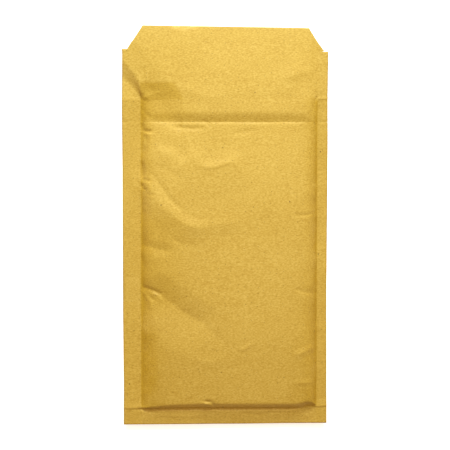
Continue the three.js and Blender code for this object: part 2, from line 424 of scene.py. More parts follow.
@dataclass
class FrontRelief:
    """The height of the front sheet's upper face, flap included."""

    layout: Layout
    arch: float = 0.2  # of the pad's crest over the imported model's
    left_inset: float = 0.65  # of the pad's edge inside the left seam
    right_spread: float = 0.3  # of the pad's edge past the right seam
    side_share: float = 0.67  # of the height, that the steep parts at the sides take
    left_far: float = 38.0  # length of each gentle part
    right_far: float = 36.0
    foot_far: float = 84.0
    edge_softness: float = 0.03  # share of the height over which two flanks blend
    left_lift: float = 0.9  # of each margin by the open flap
    right_lift: float = 1.9
    rim: float = 1.6  # from the bottom seam to where the margin starts to fall
    valley_shift: float = -1.05  # of the valley's line from the middle of the film's free strip
    lip_drop: float = 0.9  # of the lip and the flap below the pad's crest
    lip_dip: float = 1.4  # from the lip down into the valley
    lip_fall: float = 0.4  # of the lip towards the mouth
    lip_fall_run: tuple[float, float] = (5.0, 19.0)
    lip_run: float = 7.6
    lip_roll: float = 1.5  # how far past the valley the curve of that dip would run on
    film_dip: float = 0.37  # from the pad's edge down into the valley
    film_run: float = 1.4
    sag_run: float = 62.0  # over which the pad's upper end slopes down to the valley
    dent_corner: tuple[float, float] = (-40.0, 99.5)  # beyond it the lip's dent deepens
    dent_towards: tuple[float, float] = (-0.79, -0.61)
    dent_slope: float = 0.1
    dent_run: float = 12.0
    dent_end: float = -30.0  # its right end
    droop: float = 1.5  # of the flap's tip
    seam_stiffness: float = 10.0  # how far inside the seams the sheet starts to bag freely
    stiff_groove: float = 0.35  # the deepest fold that the stiff glued margins take
    pad_groove: float = 4.0  # how much deeper one can be on the pad

    @property
    def crest(self) -> float:
        """Height of the pad's crest."""
        return self.layout.top + self.arch

    def margin(self, x: np.ndarray, y: np.ndarray) -> np.ndarray:
        """Height of the glued margins: raised by the flap at the mouth, drooping along the bottom.

        Args:
            x: Places across.
            y: Places along.

        Returns:
            Heights, which also go on smoothly under the pad.
        """
        lift_right = self.right_lift * smooth_step(x, 20, 58) * smooth_step(y, 10, 100)
        lift_left = self.left_lift * smooth_step(-x, 20, 55) * smooth_step(y, 62, 92)
        fall = profile(x, MARGIN_FALL) * np.maximum(self.layout.bottom_seam - self.rim - y, 0)
        waves = sum(wave.lift(x, y) for wave in MARGIN_WAVES)
        return SEAM_LOFT + 2 * PAPER + GLUE_LINE + lift_right + lift_left - fall + waves

    def pad(self, x: np.ndarray, y: np.ndarray) -> np.ndarray:
        """The pad's swelling, without the valley and the folds.

        Args:
            x: Places across.
            y: Places along.

        Returns:
            Shares of its full height, which are 0 in the margins.
        """
        lay = self.layout
        from_left = x - lay.left_seam - self.left_inset + LEFT_WOBBLE.lift(x * 0, y)
        from_right = lay.right_seam + self.right_spread - x + RIGHT_WOBBLE.lift(x * 0, y)
        from_foot = y - (lay.bottom_seam + profile(x, FOOT_LIFT))
        left = flank(from_left, self.side_share, profile(y, LEFT_RUN), self.left_far)
        right = flank(from_right, self.side_share, profile(y, RIGHT_RUN), self.right_far)
        foot = flank(from_foot, profile(x, FOOT_SHARE), profile(x, FOOT_RUN), self.foot_far)
        return clamp01(soft_min([left, right, foot], self.edge_softness))

    def valley(self, x: np.ndarray, y: np.ndarray) -> np.ndarray:
        """Depth of the valley where the film's upper edge is stuck down, and of the lip beyond it.

        Args:
            x: Places across.
            y: Places along.

        Returns:
            Depths below the crest.
        """
        line = self.layout.valley + self.valley_shift + VALLEY_WOBBLE.lift(x, y * 0)
        north, south = y - line, line - y
        dip = 1 - smooth_step(north, -self.lip_roll, self.lip_run)
        lip = self.lip_drop + self.lip_dip * dip / (1 - smooth_step(0.0, -self.lip_roll, self.lip_run))
        lip += self.lip_fall * smooth_step(north, *self.lip_fall_run)
        edge = self.film_dip * clamp01(1 - south / self.film_run) ** 1.3
        sag = (self.lip_drop + self.lip_dip - self.film_dip) * clamp01(1 - south / self.sag_run) ** 1.6
        return np.where(y > line, lip, edge + sag)

    def dent(self, x: np.ndarray, y: np.ndarray) -> np.ndarray:
        """Depth of the dent in the left of the lip, whose upper edges fold sharply into the flap.

        Args:
            x: Places across.
            y: Places along.

        Returns:
            Depths.
        """
        lip = profile(x, DENT_ACROSS) * profile(y, DENT_ALONG)
        (corner_x, corner_y), (to_x, to_y) = self.dent_corner, self.dent_towards
        beyond = ((x - corner_x) * to_x + (y - corner_y) * to_y) * (x < self.dent_end)
        return lip + self.dent_slope * np.clip(beyond, 0, self.dent_run) * profile(y, DENT_START)

    def flap(self, x: np.ndarray, y: np.ndarray) -> np.ndarray:
        """Height of the flap's sheet.

        Args:
            x: Places across.
            y: Places along.

        Returns:
            Heights over the floor.
        """
        lay = self.layout
        out = clamp01((y - lay.mouth) / (lay.tip - lay.mouth))
        level = self.crest - self.lip_drop - self.lip_fall
        droop = self.droop * profile(x, FLAP_DROOP) * out**1.3
        return level - droop - profile(x, FLAP_ROLL) * (1 - 0.3 * out)

    def released(self, x: np.ndarray, y: np.ndarray) -> np.ndarray:
        """How far the sheet has left the glued body for the flap.

        Args:
            x: Places across.
            y: Places along.

        Returns:
            Shares from 0 on the body to 1 on the flap.
        """
        start, end = profile(x, RELEASE_START), profile(x, RELEASE_END)
        return clamp01((y - start) / (end - start))

    def base(self, x: np.ndarray, y: np.ndarray) -> np.ndarray:
        """Height without folds.

        Args:
            x: Places across.
            y: Places along.

        Returns:
            Heights over the floor.
        """
        pad, margin, released = self.pad(x, y), self.margin(x, y), self.released(x, y)
        body = margin + (self.crest - margin) * pad - self.valley(x, y) * pad**2
        surface = body + (self.flap(x, y) - body) * released
        return surface - self.dent(x, y) * np.maximum(pad, released)

    def bagging(self, x: np.ndarray, y: np.ndarray) -> np.ndarray:
        """Loose waves away from the seams, and fine crumples that gather beside them.

        Args:
            x: Places across.
            y: Places along.

        Returns:
            The added heights.
        """
        lay = self.layout
        inside = np.minimum(np.minimum(x - lay.left_seam, lay.right_seam - x), y - lay.bottom_seam)
        free = np.maximum(smooth_step(inside, 0, self.seam_stiffness), smooth_step(y, 92, 120))
        loose = sum(wave.lift(x, y) for wave in LOOSE_WAVES)
        beside = np.minimum(np.abs(x - lay.left_seam - 3), np.abs(x - lay.right_seam + 3))
        crumple = CRUMPLE.lift(x, y) + SEAM_CRUMPLE.lift(x, y) * np.exp(-beside / 4)
        return loose * free + crumple

    def height(self, x: np.ndarray, y: np.ndarray) -> np.ndarray:
        """Height of the sheet's upper face.

        Args:
            x: Places across.
            y: Places along.

        Returns:
            Heights over the floor.
        """
        folds = sum(fold.lift(x, y) for fold in PAD_FOLDS + MARGIN_FOLDS + FLAP_FOLDS)
        folds = np.maximum(folds, -self.stiff_groove - self.pad_groove * self.pad(x, y))
        return self.base(x, y) + folds + self.bagging(x, y)


@dataclass
class PaintedShade:
    """Painted shade on the front sheet: a share from 0 to 1 that darkens the paper beside the film's edges,
    along the pad's foot, in its folds and dents, on the margins and along the seams.
    """

    relief: FrontRelief
    blur: float = 0.4  # of the seams' lines
    right_shade: float = 0.95
    foot_shade: float = 0.7
    foot_reach: float = 2.5
    roll_shade: float = 0.25  # painted shade on the roll just beyond the valley
    crumple_shade: float = 0.4  # painted shade on the crumpled lower left of the pad
    pleat_shade: float = 0.22  # painted shade in the pleats beside the left seam
    margin_shade: float = 0.2  # painted shade on the glued margins
    seam_line_shade: float = 0.4  # painted shadow line along each seam, where the pad meets the margin
    seam_line_reach: float = 0.45
    left_line_inset: float = 0.75  # how far inside its seam each of those lines runs
    right_line_inset: float = -0.2
    dent_shade: float = 0.6
    flap_side_shade: float = 0.15

    def inside(self, x: np.ndarray) -> np.ndarray:
        """Distance inside the nearer side seam."""
        lay = self.relief.layout
        return np.minimum(x - lay.left_seam, lay.right_seam - x)

    def drawn(self, x: np.ndarray, y: np.ndarray) -> np.ndarray:
        """Painted shade on the pad: beside the film's edges, along its foot, beyond the valley, in its
        crumpled lower left and in the pleats.

        Args:
            x: Places across.
            y: Places along.

        Returns:
            The painted shade, which is 0 off the pad.
        """
        lay = self.relief.layout
        from_left, from_right = np.maximum(x - lay.left_seam, 0), np.maximum(lay.right_seam - x, 0)
        left = profile(y, LEFT_SHADE) * np.exp(-from_left / profile(y, LEFT_REACH))
        right = self.right_shade * np.exp(-from_right / profile(y, RIGHT_REACH))
        sides = np.maximum(left, right) * sum((cloud.lift(x, y) for cloud in SHADE_CLOUDS), start=1.0)
        foot = self.foot_shade * np.exp(-np.maximum(y - lay.bottom_seam, 0) / self.foot_reach)
        lower_left_shade = self.crumple_shade * smooth_step(-x, 18, 46) * stretch(y, (-66, -50), (0, 16))
        north = y - lay.valley - self.relief.valley_shift
        valley_shade = self.roll_shade * stretch(north, (-0.5, 1), (3, 8))
        pleat_darkening = smooth_step(PLEAT_SHADE_WOBBLE.lift(x * 0, y) - x, 45, 48.5)
        pleat_darkening = self.pleat_shade * pleat_darkening * stretch(y, (-119, -112), (-76, -68))
        # painted shade: beside the film's edges and along the foot, in the crumpled lower left, beyond the
        # valley and in the pleats
        pad_shade = np.maximum(np.maximum(sides, foot) + lower_left_shade, valley_shade) + pleat_darkening
        on_pad = smooth_step(self.inside(x), -self.blur, self.blur)
        return pad_shade * on_pad * stretch(y, (lay.bottom_seam - 0.5, lay.bottom_seam + 0.5), (84, 92))

    def shaded_margins(self, x: np.ndarray, y: np.ndarray) -> np.ndarray:
        """Painted shade on the glued margins, and a painted shadow line along each seam where the pad meets
        the margin.

        Args:
            x: Places across.
            y: Places along.

        Returns:
            The painted shade, which is 0 elsewhere.
        """
        lay = self.relief.layout
        # painted shade on the glued margins, and a painted shadow line along each seam
        margin = self.margin_shade * (1 - smooth_step(self.inside(x), -self.blur, self.blur))
        margin = margin * (1 - smooth_step(y, lay.mouth, lay.mouth + np.where(x < 0, 12, 1)))
        left, right = x - lay.left_seam - self.left_line_inset, lay.right_seam - x - self.right_line_inset
        seam_shadow = self.seam_line_shade * np.exp(-np.minimum(np.abs(left), np.abs(right)) / self.seam_line_reach)
        return margin + seam_shadow * (y < lay.mouth) * (y > lay.bottom_seam + 1)

    def shaded_dent(self, x: np.ndarray, y: np.ndarray) -> np.ndarray:
        """Painted shade in the dent in the left of the lip, and on the flap beyond it.

        Args:
            x: Places across.
            y: Places along.

        Returns:
            The painted shade, which is 0 elsewhere.
        """
        lay = self.relief.layout
        # past the mouth the dent's painted shade ends on the right in a slanting edge, and before it it
        # fades out
        past = smooth_step(-0.57 * (y - 92.6) - x, 30.0, 33.4)
        before = 0.6 * smooth_step(-x, 12, 45)
        dent = np.where(y > lay.mouth, past, before) * stretch(y, (72, 76), (97.8, 99.8))
        side = smooth_step(-x, 5, 50) * stretch(y, (92, 104), (118, 132))
        # painted shade in the dent and on the flap's left side, held inside the left seam
        return (self.dent_shade * dent + self.flap_side_shade * side) * (x > lay.left_seam)

    def share(self, x: np.ndarray, y: np.ndarray) -> np.ndarray:
        """The whole painted shade, from 0 to 1."""
        return clamp01(self.drawn(x, y) + self.shaded_margins(x, y) + self.shaded_dent(x, y))


@dataclass
class BackRelief:
    """The height of the back sheet's lower face: flat below the pad, and up to the seams round it."""

    front: FrontRelief
    slope_run: float = 6.0

    def height(self, x: np.ndarray, y: np.ndarray) -> np.ndarray:
        """Height of the sheet's lower face, which meets the front sheet's margins.

        Args:
            x: Places across.
            y: Places along.

        Returns:
            Heights over the floor.
        """
        lay = self.front.layout
        inset = soft_min([x - lay.left_seam, lay.right_seam - x, y - lay.bottom_seam], 0.5)
        rise = self.front.margin(x, y) - (2 * PAPER + GLUE_LINE)
        return rise * clamp01(1 - inset / self.slope_run) ** 1.7


def drift(bm: bmesh.types.BMesh) -> None:
    """Give a blank the small errors of its cutting: a little wide at the sides, and out of square.

    Args:
        bm: The sheet, already laid on its relief.
    """
    places = np.array([v.co for v in bm.verts])
    x, y = places[:, 0], places[:, 1]
    step_x = profile(y, WIDE_RIGHT) * smooth_step(x, 62, 70)
    step_x = step_x - profile(y, WIDE_LEFT) * smooth_step(-x, 58, 70)
    step_x -= 0.5 * smooth_step(-x, 30, 60) * smooth_step(y, 118, 126)
    tip = profile(x, TIP_SHIFT) * smooth_step(y, 100, 137)
    corner = 0.6 * smooth_step(-x, 62, 70) * smooth_step(y, 105, 121)
    step_y = tip + corner + profile(x, FOOT_SHIFT) * smooth_step(-y, 112, 137)
    for vertex, move_x, move_y in zip(bm.verts, step_x, step_y):
        vertex.co.x += move_x
        vertex.co.y += move_y


# ---- Meshes ---------------------------------------------------------------------------------------------


def lay_on(bm: bmesh.types.BMesh, surface: Surface) -> None:
    """Lay a flat mesh on a surface.

    Args:
        bm: The mesh, whose vertices' own heights are kept as thickness over the surface.
        surface: What it is laid on.
    """
    places = np.array([v.co for v in bm.verts])
    lifted = surface.height(places[:, 0], places[:, 1]) + places[:, 2]
    for vertex, z in zip(bm.verts, lifted):
        vertex.co.z = z


def grid(
    low: tuple[float, float], high: tuple[float, float], cell: tuple[float, float]
) -> bmesh.types.BMesh:
    """A flat sheet of rectangular cells.

    Args:
        low: Its lower left corner.
        high: Its upper right corner.
        cell: About how wide and how long a cell is.

    Returns:
        The sheet at height 0.
    """
    width, length = high[0] - low[0], high[1] - low[1]
    bm = bmesh.new()
    columns, rows = round(width / cell[0]), round(length / cell[1])
    bmesh.ops.create_grid(bm, x_segments=columns, y_segments=rows, size=0.5)
    bmesh.ops.scale(bm, vec=(width, length, 1), verts=bm.verts)
    bmesh.ops.translate(bm, vec=((low[0] + high[0]) / 2, (low[1] + high[1]) / 2, 0), verts=bm.verts)
    return bm


def cut(bm: bmesh.types.BMesh, point: Vector, normal: Vector, above: float | None = None) -> None:
    """Cut a sheet along a line and drop what lies on the normal's side.

    Args:
        bm: The sheet.
        point: A point on the line.
        normal: Points to the side that is dropped.
        above: Only cut faces beyond this place along Y.
    """
    faces = [f for f in bm.faces if above is None or f.calc_center_median().y > above]
    # each part once, and always in the same order, which a set wouldn't keep
    parts = list(dict.fromkeys(item for f in faces for item in (f, *f.edges, *f.verts)))
    bmesh.ops.bisect_plane(bm, geom=parts, plane_co=point, plane_no=normal, clear_outer=True)


def crease_row(bm: bmesh.types.BMesh, point: Vector, normal: Vector) -> None:
    """Add a row of edges to a sheet, so that a sharp crease has points to stand on.

    Args:
        bm: The sheet.
        point: A point on the row.
        normal: Points across the row.
    """
    everything = [*bm.verts, *bm.edges, *bm.faces]
    bmesh.ops.bisect_plane(bm, geom=everything, dist=1e-4, plane_co=point, plane_no=normal)


def finish_piece(
    bm: bmesh.types.BMesh, name: str, node: str, finish: "Finish"
) -> bpy.types.Object:
    """Turn a mesh in millimetres into a piece of the object.

    Args:
        bm: The mesh, which is freed.
        name: The piece's name.
        node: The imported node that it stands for.
        finish: The finish that dresses it.

    Returns:
        The piece.
    """
    bmesh.ops.scale(bm, vec=(MM, MM, MM), verts=bm.verts)
    for face in bm.faces:
        face.smooth = True
    mesh = bpy.data.meshes.new(name)
    bm.to_mesh(mesh)
    bm.free()
    piece = bpy.data.objects.new(name, mesh)
    bpy.context.scene.collection.objects.link(piece)
    mesh.materials.append(finish.material())
    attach(piece, BODY)
    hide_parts(node)
    return piece


def thicken(piece: bpy.types.Object, thickness: float, offset: float) -> None:
    """Give a sheet its thickness with a live Solidify.

    Args:
        piece: The sheet.
        thickness: In millimetres.
        offset: -1 to grow below the mesh's normals, 1 to grow above them.
    """
    solid = piece.modifiers.new("thickness", "SOLIDIFY")
    solid.thickness = thickness * MM
    solid.offset = offset


# ---- Finishes -------------------------------------------------------------------------------------------

# numbers of a Mix node's colour sockets
FACTOR, FIRST, SECOND, MIXED = 0, 6, 7, 2


def srgb(code: str) -> tuple[float, float, float, float]:
    """A linear colour from a hex code.

    Args:
        code: An sRGB code such as '#dcb14b'.

    Returns:
        Red, green, blue and an alpha of 1.
    """
    channels = (int(code[i : i + 2], 16) / 255 for i in (1, 3, 5))
    linear = (c / 12.92 if c <= 0.04045 else ((c + 0.055) / 1.055) ** 2.4 for c in channels)
    return (*linear, 1.0)


def add_node(
    tree: bpy.types.NodeTree,
    kind: str,
    settings: dict[str | int, Any] | None = None,
    links: dict[str | int, bpy.types.NodeSocket] | None = None,
) -> bpy.types.Node:
    """Add a node to a tree.

    Args:
        tree: The node tree.
        kind: The node's type.
        settings: Values by name, of the node itself or else of its input sockets.
        links: Output sockets to link, by input name or number.

    Returns:
        The node.
    """
    node = tree.nodes.new(kind)
    for key, value in (settings or {}).items():
        if isinstance(key, str) and hasattr(node, key):
            setattr(node, key, value)
        else:
            node.inputs[key].default_value = value
    for key, socket in (links or {}).items():
        tree.links.new(socket, node.inputs[key])
    return node


def per_metre(millimetres: float) -> float:
    """The texture scale whose features are this far apart."""
    return 1 / (millimetres * MM)


class Finish(ABC):
    """How one of the envelope's materials looks: procedural nodes on Object coordinates."""

    name = "finish"

    @abstractmethod
    def shader(self, tree: bpy.types.NodeTree, place: bpy.types.NodeSocket) -> bpy.types.Node:
        """Add the finish's nodes.

        Args:
            tree: The node tree.
            place: The Object coordinates.

        Returns:
            The shader's node.
        """

    def material(self) -> bpy.types.Material:
        """Make the material.

        Returns:
            The material, with this finish's name and nodes.
        """
        made = bpy.data.materials.new(self.name)
        made.use_nodes = True
        tree = made.node_tree
        tree.nodes.clear()
        place = add_node(tree, "ShaderNodeTexCoord").outputs["Object"]
        shader = self.shader(tree, place)
        add_node(tree, "ShaderNodeOutputMaterial", {}, {"Surface": shader.outputs["BSDF"]})
        return made


@dataclass(frozen=True)
class Shives:
    """Specks of bark in the paper, in millimetres."""

    spacing: float
    radius: float
    strength: float  # how far the darkest one goes to the speck's colour
    rarity: float  # 1 for even strengths, more for few strong ones among many faint ones


@dataclass(frozen=True)
class KraftPaper(Finish):
    """Machine-glazed golden kraft: pulp of long unbleached fibres, pressed smooth on one side."""

    # It gives the eye a warm, slightly cloudy sheet with fine sideways fibres, a few dark shives and a
    # faint sheen that breaks up where the sheet is lumpy. Where its relief would lie in shade, painted
    # shade darkens it to a deeper gold.

    sheet: Sheet
    deep: str = "#aa8127"
    body: str = "#be973a"
    pale: str = "#cea94d"
    stops: tuple[float, float, float] = (0.2, 0.57, 0.95)  # of the three colours on the tone
    speck: str = "#4a3212"
    shade_tint: str = "#eae291"  # painted shade: what the paper's colour is multiplied by where the shade is full
    along_fibres: float = 0.45  # fibres lie across the sheet, so every pattern is drawn out sideways
    grain: float = 0.7  # fibres are 0.03 mm wide: drawn this coarse, so that they show
    formation: float = 5.0  # flocks of fibres
    cloud: float = 38.0  # slow unevenness of the web
    shives: tuple[Shives, ...] = (Shives(22, 0.55, 0.95, 3.5), Shives(4.5, 0.42, 0.5, 1.6))

    @property
    def name(self) -> str:
        """The material's name."""
        return f"kraft_paper_{self.sheet.value}"

    def speckled(
        self, tree: bpy.types.NodeTree, place: bpy.types.NodeSocket, colour: bpy.types.NodeSocket
    ) -> bpy.types.NodeSocket:
        """Scatter the shives, which are drawn about twice as coarse as real ones so that they show.

        Args:
            tree: The node tree.
            place: The Object coordinates.
            colour: The clean paper's colour.

        Returns:
            The speckled paper's colour.
        """
        for kind in self.shives:
            widest = kind.radius / kind.spacing
            cells = add_node(
                tree,
                "ShaderNodeTexVoronoi",
                {"voronoi_dimensions": "2D", "Scale": per_metre(kind.spacing)},
                {"Vector": place},
            )
            spot = add_node(
                tree,
                "ShaderNodeMapRange",
                {"From Min": widest, "From Max": 0.45 * widest, "To Max": kind.strength},
                {"Value": cells.outputs["Distance"]},
            )
            chance = add_node(tree, "ShaderNodeSeparateColor", {}, {"Color": cells.outputs["Color"]})
            dark = add_node(
                tree,
                "ShaderNodeMath",
                {"operation": "POWER", 1: kind.rarity},
                {0: chance.outputs["Red"]},
            )
            shive = add_node(
                tree,
                "ShaderNodeMath",
                {"operation": "MULTIPLY"},
                {0: spot.outputs["Result"], 1: dark.outputs[0]},
            )
            colour = add_node(
                tree,
                "ShaderNodeMix",
                {"data_type": "RGBA", SECOND: srgb(self.speck)},
                {FACTOR: shive.outputs[0], FIRST: colour},
            ).outputs[MIXED]
        return colour

    def shader(self, tree: bpy.types.NodeTree, place: bpy.types.NodeSocket) -> bpy.types.Node:
        """Add the paper's nodes.

        Args:
            tree: The node tree.
            place: The Object coordinates.

        Returns:
            The shader's node.
        """
        across = add_node(
            tree, "ShaderNodeMapping", {"Scale": (self.along_fibres, 1.0, 1.0)}, {"Vector": place}
        )
        fibres, formation, cloud = (
            add_node(
                tree,
                "ShaderNodeTexNoise",
                {"Scale": per_metre(size), "Detail": detail, "Roughness": 0.6},
                {"Vector": across.outputs["Vector"]},
            ).outputs["Fac"]
            for size, detail in ((self.grain, 2.0), (self.formation, 3.0), (self.cloud, 2.0))
        )
        # the tone adds the three up, with the fibres spread out round the middle
        tone = add_node(
            tree, "ShaderNodeMath", {"operation": "MULTIPLY_ADD", 1: 1.35, 2: -0.325}, {0: fibres}
        )
        for weight, noise in ((0.2, formation), (0.25, cloud)):
            tone = add_node(
                tree,
                "ShaderNodeMath",
                {"operation": "MULTIPLY_ADD", 1: weight},
                {0: noise, 2: tone.outputs[0]},
            )
        ramp = add_node(tree, "ShaderNodeValToRGB", {}, {"Fac": tone.outputs[0]})
        elements = ramp.color_ramp.elements
        elements.new(self.stops[1])
        for element, stop, code in zip(elements, self.stops, (self.deep, self.body, self.pale)):
            element.position = stop
            element.color = srgb(code)
        # painted shade: the per-vertex attribute multiplies the paper's colour towards a deeper gold where
        # the relief would be shaded
        painted_shade = add_node(tree, "ShaderNodeAttribute", {"attribute_name": "painted_shade"})
        colour = add_node(
            tree,
            "ShaderNodeMix",
            {"data_type": "RGBA", "blend_type": "MULTIPLY", SECOND: srgb(self.shade_tint)},
            {FACTOR: painted_shade.outputs["Fac"], FIRST: self.speckled(tree, place, ramp.outputs["Color"])},
        )
        rough = add_node(
            tree,
            "ShaderNodeMapRange",
            {"From Min": 0.3, "From Max": 0.7, "To Min": 0.52, "To Max": 0.68},
            {"Value": formation},
        )
        bump = add_node(
            tree,
            "ShaderNodeBump",
            {"Strength": 0.35, "Distance": 0.06 * MM},
            {"Height": tone.outputs[0]},
        )
        return add_node(
            tree,
            "ShaderNodeBsdfPrincipled",
            {"IOR": 1.48, "Specular IOR Level": 0.25},
            {
                "Base Color": colour.outputs[MIXED],
                "Roughness": rough.outputs["Result"],
                "Normal": bump.outputs["Normal"],
            },
        )


@dataclass(frozen=True)
class BubbleFilm(Finish):
    """Polyethylene film, blown thin and welded in two layers."""

    # It gives the eye glossy domes over a milky web that is clear enough to show the paper behind it.

    name = "polyethylene_bubble_film"
    clear: str = "#dfe6e6"
    milky: str = "#f4f7f7"
    haze: float = 9.0  # slow streaks of the die
    opacity: tuple[float, float] = (0.62, 0.82)
    roughness: tuple[float, float] = (0.14, 0.26)

    def shader(self, tree: bpy.types.NodeTree, place: bpy.types.NodeSocket) -> bpy.types.Node:
        """Add the film's nodes.

        Args:
            tree: The node tree.
            place: The Object coordinates.

        Returns:
            The shader's node.
        """
        haze = add_node(
            tree,
            "ShaderNodeTexNoise",
            {"Scale": per_metre(self.haze), "Detail": 3.0},
            {"Vector": place},
        ).outputs["Fac"]
        opaque, rough = (
            add_node(
                tree,
                "ShaderNodeMapRange",
                {"From Min": 0.3, "From Max": 0.7, "To Min": low, "To Max": high},
                {"Value": haze},
            ).outputs["Result"]
            for low, high in (self.opacity, self.roughness)
        )
        ramp = add_node(tree, "ShaderNodeValToRGB", {}, {"Fac": haze})
        for element, code in zip(ramp.color_ramp.elements, (self.clear, self.milky)):
            element.color = srgb(code)
        return add_node(
            tree,
            "ShaderNodeBsdfPrincipled",
            {"IOR": 1.51},
            {"Base Color": ramp.outputs["Color"], "Alpha": opaque, "Roughness": rough},
        )


@dataclass(frozen=True)
class HotMelt(Finish):
    """Hot-melt glue, coated on the paper as a warm band."""

    # It gives the eye a pale amber, wet-looking stripe with the sideways ripples of its coating head.

    name = "hot_melt_glue"
    thin: str = "#d8c68a"
    thick: str = "#e3d39a"
    ripple: float = 2.5

    def shader(self, tree: bpy.types.NodeTree, place: bpy.types.NodeSocket) -> bpy.types.Node:
        """Add the glue's nodes.

        Args:
            tree: The node tree.
            place: The Object coordinates.

        Returns:
            The shader's node.
        """
        drawn = add_node(tree, "ShaderNodeMapping", {"Scale": (0.2, 1.0, 1.0)}, {"Vector": place})
        ripple = add_node(
            tree,
            "ShaderNodeTexNoise",
            {"Scale": per_metre(self.ripple), "Detail": 2.0},
            {"Vector": drawn.outputs["Vector"]},
        ).outputs["Fac"]
        bump = add_node(
            tree, "ShaderNodeBump", {"Strength": 0.5, "Distance": 0.05 * MM}, {"Height": ripple}
        )
        ramp = add_node(tree, "ShaderNodeValToRGB", {}, {"Fac": ripple})
        for element, code in zip(ramp.color_ramp.elements, (self.thin, self.thick)):
            element.color = srgb(code)
        return add_node(
            tree,
            "ShaderNodeBsdfPrincipled",
            {"Roughness": 0.22, "IOR": 1.48},
            {"Base Color": ramp.outputs["Color"], "Normal": bump.outputs["Normal"]},
        )


@dataclass(frozen=True)
class SiliconePaper(Finish):
    """Glassine: paper beaten and calendered until it is dense, then siliconised."""

    # It gives the eye an off-white satin strip, smoother than the kraft, with a faint cloudiness.

    name = "siliconised_glassine"
    dense: str = "#e2ded0"
    thin: str = "#f0ede2"
    formation: float = 4.0

    def shader(self, tree: bpy.types.NodeTree, place: bpy.types.NodeSocket) -> bpy.types.Node:
        """Add the strip's nodes.

        Args:
            tree: The node tree.
            place: The Object coordinates.

        Returns:
            The shader's node.
        """
        cloud = add_node(
            tree,
            "ShaderNodeTexNoise",
            {"Scale": per_metre(self.formation), "Detail": 3.0},
            {"Vector": place},
        ).outputs["Fac"]
        bump = add_node(
            tree, "ShaderNodeBump", {"Strength": 0.2, "Distance": 0.03 * MM}, {"Height": cloud}
        )
        ramp = add_node(tree, "ShaderNodeValToRGB", {}, {"Fac": cloud})
        for element, code in zip(ramp.color_ramp.elements, (self.dense, self.thin)):
            element.color = srgb(code)
        return add_node(
            tree,
            "ShaderNodeBsdfPrincipled",
            {"Roughness": 0.36, "IOR": 1.46},
            {"Base Color": ramp.outputs["Color"], "Normal": bump.outputs["Normal"]},
        )


# ---- Pieces ---------------------------------------------------------------------------------------------


@dataclass
class FrontSheet:
    """The front sheet with its flap: one blank, with the flap's corners knifed off."""

    relief: FrontRelief
    cell: tuple[float, float] = (1.2, 0.78)
    valley_rows: tuple[float, ...] = (1.4, 1.05, 0.6)  # extra rows of points below the valley
    foot_rows: tuple[float, ...] = (2.5, 1.7, 1.2, 0.7, 0.3, -0.4)  # below the bottom seam
    seam_rows: tuple[float, ...] = (-0.8, -0.3, 0.2, 0.7)  # inside each side seam
    corner_length: float = 16.2  # of each cut corner, along Y
    corner_width: float = 10.3
    left_step: float = 3.4  # from the blank's side to where the cut starts
    right_step: float = 2.4

    def blank(self) -> bmesh.types.BMesh:
        """Cut the blank.

        Returns:
            The flat sheet, with rows of points along its sharp creases.
        """
        lay = self.relief.layout
        bm = grid((lay.left, lay.bottom), (lay.right, lay.tip), self.cell)
        shoulder = lay.tip - self.corner_length
        rows = [shoulder]
        rows += [lay.valley - gap for gap in self.valley_rows]
        rows += [lay.bottom_seam - gap for gap in self.foot_rows]
        for y in rows:
            crease_row(bm, Vector((0, y, 0)), Vector((0, 1, 0)))
        for seam, side in ((lay.left_seam, 1), (lay.right_seam, -1)):
            for gap in self.seam_rows:
                crease_row(bm, Vector((seam + side * gap, 0, 0)), Vector((1, 0, 0)))
        for side, edge, step in ((-1, lay.left, self.left_step), (1, lay.right, self.right_step)):
            start = Vector((edge - side * step, shoulder, 0))
            normal = Vector((side * self.corner_length, self.corner_width, 0))
            cut(bm, start, normal, above=shoulder)
        return bm

    def build(self) -> bpy.types.Object:
        """Press the blank into its relief, and paint its shade into a vertex attribute.

        Returns:
            The piece.
        """
        bm = self.blank()
        lay_on(bm, self.relief)
        # painted shade, written per vertex for the paper's colour
        layer = bm.verts.layers.float.new("painted_shade")
        places = np.array([v.co for v in bm.verts])
        shares = PaintedShade(self.relief).share(places[:, 0], places[:, 1])
        for vertex, share in zip(bm.verts, shares):
            vertex[layer] = share
        drift(bm)
        paper = KraftPaper(Sheet.FRONT)
        piece = finish_piece(bm, "front_kraft_sheet", "front_sheet", paper)
        thicken(piece, PAPER, -1)
        return piece


@dataclass
class BackSheet:
    """The back sheet, flat on the surface below and glued to the front sheet round three sides."""

    relief: BackRelief
    cell: tuple[float, float] = (2.0, 2.0)
    side_inset: float = 0.15  # of its edges behind those of the front sheet
    foot_inset: float = 0.2

    def build(self) -> bpy.types.Object:
        """Press the sheet into its relief.

        Returns:
            The piece.
        """
        lay = self.relief.front.layout
        low = (lay.left + self.side_inset, lay.bottom + self.foot_inset)
        bm = grid(low, (lay.right - self.side_inset, lay.mouth), self.cell)
        lay_on(bm, self.relief)
        drift(bm)
        paper = KraftPaper(Sheet.BACK)
        piece = finish_piece(bm, "back_kraft_sheet", "back_sheet", paper)
        thicken(piece, PAPER, 1)
        return piece


